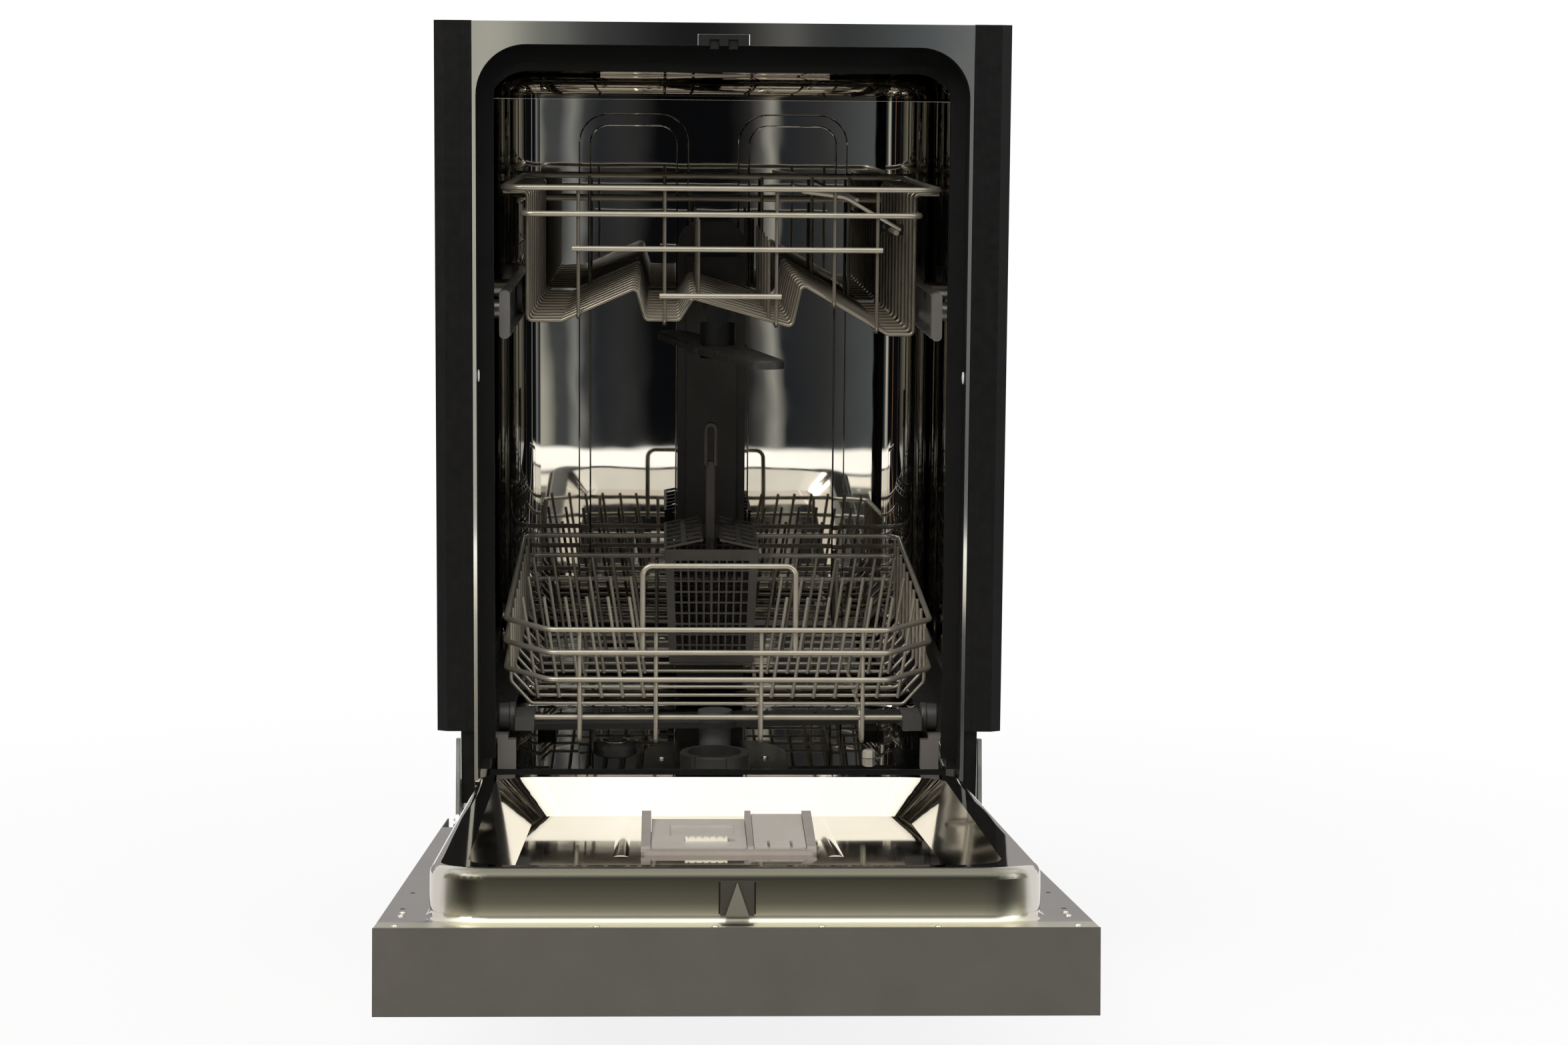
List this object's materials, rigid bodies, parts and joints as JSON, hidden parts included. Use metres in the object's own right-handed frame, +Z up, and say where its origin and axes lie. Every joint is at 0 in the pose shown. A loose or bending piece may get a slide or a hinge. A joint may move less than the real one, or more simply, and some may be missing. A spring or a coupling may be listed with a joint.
{
  "type": "built-in dishwasher",
  "caption": "Slimline built-in dishwasher with its door open: steel tub, wire racks on rails and wheels, cutlery basket, spray arms, dispenser in the door and levelling feet.",
  "frame": {"origin": "on the floor under the middle of the tub's front flange", "axes": "+X to the right seen from the front, +Y into the machine, +Z up"},
  "size_m": [0.4562, 1.1718, 0.8148],
  "materials": {
    "tub_steel": "bright rolled stainless steel",
    "liner_steel": "satin stainless steel",
    "plain_steel": "zinc-plated steel",
    "seal_rubber": "matt black",
    "strip_black": "matt black, ribbed",
    "base_black": "matt",
    "door_paint": "satin taupe grey",
    "control_grey": "fine matt",
    "key_grey": "semi-gloss",
    "smoked_window": "dark and glossy",
    "circuit_board": "lacquered",
    "rack_coating": "silver nylon coating",
    "fitting_grey": "matt",
    "fitting_black": "matt",
    "works_grey": "matt",
    "basket_plastic": "satin",
    "dispenser_plastic": "satin",
    "cream_plastic": "semi-gloss"
  },
  "bodies": {
    "cabinet": {"tub_wrapper": "tub_steel", "tub_top_pan": "tub_steel", "tub_bottom_pan": "tub_steel", "tub_front_frame": "tub_steel", "door_gasket": "seal_rubber", "side_strips": "strip_black", "door_latch": "fitting_black", "counter_brackets": "plain_steel", "base_tray": "base_black", "kick_plate": "door_paint", "hinge_brackets": "plain_steel", "door_springs": "plain_steel", "sump": "works_grey", "filter_plate": "liner_steel", "circulation_pump": "works_grey", "drain_pump": "works_grey", "softener_tank": "works_grey", "inlet_valve": "works_grey", "air_breaker": "works_grey", "water_column": "fitting_grey", "lower_tracks": "fitting_grey", "upper_wall_rails": "plain_steel", "rail_end_caps": "fitting_grey"},
    "filter": {"filter_cup": "fitting_grey"},
    "lower_arm": {"lower_spray_arm": "fitting_grey"},
    "salt_lid": {"salt_cap": "fitting_grey"},
    "overflow_float": {"float_cap": "cream_plastic"},
    "front_left_foot": {"foot_front_left": "base_black"},
    "front_right_foot": {"foot_front_right": "base_black"},
    "back_left_foot": {"foot_back_left": "base_black"},
    "back_right_foot": {"foot_back_right": "base_black"},
    "lower_rack": {"lower_rack_rails": "rack_coating", "lower_rack_wires": "rack_coating", "lower_wheel_brackets": "fitting_grey"},
    "front_wheels": {"lower_front_wheels": "fitting_grey"},
    "back_wheels": {"lower_back_wheels": "fitting_grey"},
    "basket": {"cutlery_basket": "basket_plastic"},
    "left_basket_lid": {"basket_lid_left": "basket_plastic"},
    "right_basket_lid": {"basket_lid_right": "basket_plastic"},
    "upper_rack": {"upper_rack_rails": "rack_coating", "upper_rack_wires": "rack_coating", "upper_rack_fittings": "fitting_black"},
    "front_rollers": {"upper_front_rollers": "fitting_grey"},
    "back_rollers": {"upper_back_rollers": "fitting_grey"},
    "upper_arm": {"upper_spray_arm": "fitting_grey"},
    "shelf": {"cup_shelf": "rack_coating"},
    "door": {"door_outer_panel": "door_paint", "door_liner": "liner_steel", "control_panel": "control_grey", "display_window": "smoked_window", "control_board": "circuit_board", "dispenser_body": "dispenser_plastic", "striker": "plain_steel", "hinge_arms": "plain_steel"},
    "detergent_cover": {"detergent_lid": "dispenser_plastic"},
    "catch": {"lid_catch": "cream_plastic"},
    "rinse_aid_cover": {"rinse_aid_lid": "dispenser_plastic"},
    "power_key": {"power_button": "key_grey"},
    "program_key": {"program_button": "key_grey"},
    "start_key": {"start_button": "key_grey"}
  },
  "joints": [
    {"name": "door_hinge", "type": "hinge", "parent": "cabinet", "child": "door", "pos_m": [0, -0.002, 0.1702], "axis": [1, 0, 0], "range_deg": [-82.87, 0]},
    {"name": "lower_rack_slide", "type": "slide", "parent": "cabinet", "child": "lower_rack", "axis": [0, -1, 0], "range_m": [0, 0.25]},
    {"name": "upper_rack_slide", "type": "slide", "parent": "cabinet", "child": "upper_rack", "axis": [0, -1, 0], "range_m": [0, 0.245]},
    {"name": "front_wheel_spin", "type": "hinge", "parent": "lower_rack", "child": "front_wheels", "pos_m": [0, 0.07, 0.246], "axis": [1, 0, 0], "continuous": true},
    {"name": "back_wheel_spin", "type": "hinge", "parent": "lower_rack", "child": "back_wheels", "pos_m": [0, 0.3925, 0.246], "axis": [1, 0, 0], "continuous": true},
    {"name": "front_roller_spin", "type": "hinge", "parent": "upper_rack", "child": "front_rollers", "pos_m": [0, 0.322, 0.5805], "axis": [1, 0, 0], "continuous": true},
    {"name": "back_roller_spin", "type": "hinge", "parent": "upper_rack", "child": "back_rollers", "pos_m": [0, 0.442, 0.5805], "axis": [1, 0, 0], "continuous": true},
    {"name": "lower_arm_spin", "type": "hinge", "parent": "cabinet", "child": "lower_arm", "pos_m": [0, 0.24, 0.207], "axis": [0, 0, 1], "continuous": true},
    {"name": "upper_arm_spin", "type": "hinge", "parent": "upper_rack", "child": "upper_arm", "pos_m": [0, 0.222, 0.537], "axis": [0, 0, 1], "continuous": true},
    {"name": "filter_twist", "type": "hinge", "parent": "cabinet", "child": "filter", "pos_m": [-0.002, 0.13, 0.185], "axis": [0, 0, 1], "range_deg": [0, 60]},
    {"name": "salt_cap_twist", "type": "hinge", "parent": "cabinet", "child": "salt_lid", "pos_m": [-0.088, 0.24, 0.185], "axis": [0, 0, 1], "range_deg": [0, 90]},
    {"name": "float_lift", "type": "slide", "parent": "cabinet", "child": "overflow_float", "axis": [0, 0, 1], "range_m": [0, 0.008]},
    {"name": "front_left_foot_screw", "type": "slide", "parent": "cabinet", "child": "front_left_foot", "axis": [0, 0, 1], "range_m": [-0.04, 0]},
    {"name": "front_right_foot_screw", "type": "slide", "parent": "cabinet", "child": "front_right_foot", "axis": [0, 0, 1], "range_m": [-0.04, 0]},
    {"name": "back_left_foot_screw", "type": "slide", "parent": "cabinet", "child": "back_left_foot", "axis": [0, 0, 1], "range_m": [-0.04, 0]},
    {"name": "back_right_foot_screw", "type": "slide", "parent": "cabinet", "child": "back_right_foot", "axis": [0, 0, 1], "range_m": [-0.04, 0]},
    {"name": "basket_lift", "type": "slide", "parent": "lower_rack", "child": "basket", "axis": [0, 0, 1], "range_m": [0, 0.065]},
    {"name": "left_lid_hinge", "type": "hinge", "parent": "basket", "child": "left_basket_lid", "pos_m": [-0.045, 0.37, 0.3561], "axis": [0, -1, 0], "range_deg": [0, 95]},
    {"name": "right_lid_hinge", "type": "hinge", "parent": "basket", "child": "right_basket_lid", "pos_m": [0.039, 0.37, 0.3561], "axis": [0, 1, 0], "range_deg": [0, 95]},
    {"name": "shelf_fold", "type": "hinge", "parent": "upper_rack", "child": "shelf", "pos_m": [0.146, 0.22, 0.646], "axis": [0, 1, 0], "range_deg": [0, 55]},
    {"name": "detergent_lid_hinge", "type": "hinge", "parent": "door", "child": "detergent_cover", "pos_m": [0, -0.2508, 0.21956], "axis": [-1, 0, 0], "range_deg": [0, 100]},
    {"name": "rinse_aid_lid_hinge", "type": "hinge", "parent": "door", "child": "rinse_aid_cover", "pos_m": [0.035, -0.2508, 0.21956], "axis": [-1, 0, 0], "range_deg": [0, 100]},
    {"name": "lid_catch_slide", "type": "slide", "parent": "detergent_cover", "child": "catch", "axis": [1, 0, 0], "range_m": [0, 0.005]},
    {"name": "power_key_press", "type": "slide", "parent": "door", "child": "power_key", "axis": [0, 0.1241, 0.9923], "range_m": [0, 0.0015], "stiffness_N_per_m": 600, "springref_m": -0.001},
    {"name": "program_key_press", "type": "slide", "parent": "door", "child": "program_key", "axis": [0, 0.1241, 0.9923], "range_m": [0, 0.0015], "stiffness_N_per_m": 600, "springref_m": -0.001},
    {"name": "start_key_press", "type": "slide", "parent": "door", "child": "start_key", "axis": [0, 0.1241, 0.9923], "range_m": [0, 0.0015], "stiffness_N_per_m": 600, "springref_m": -0.001}
  ],
  "couplings": [
    {"joint": "front_wheel_spin", "follows": "lower_rack_slide", "rad_per_m": 90.909},
    {"joint": "back_wheel_spin", "follows": "lower_rack_slide", "rad_per_m": 90.909},
    {"joint": "front_roller_spin", "follows": "upper_rack_slide", "rad_per_m": 60.976},
    {"joint": "back_roller_spin", "follows": "upper_rack_slide", "rad_per_m": 60.976}
  ]
}
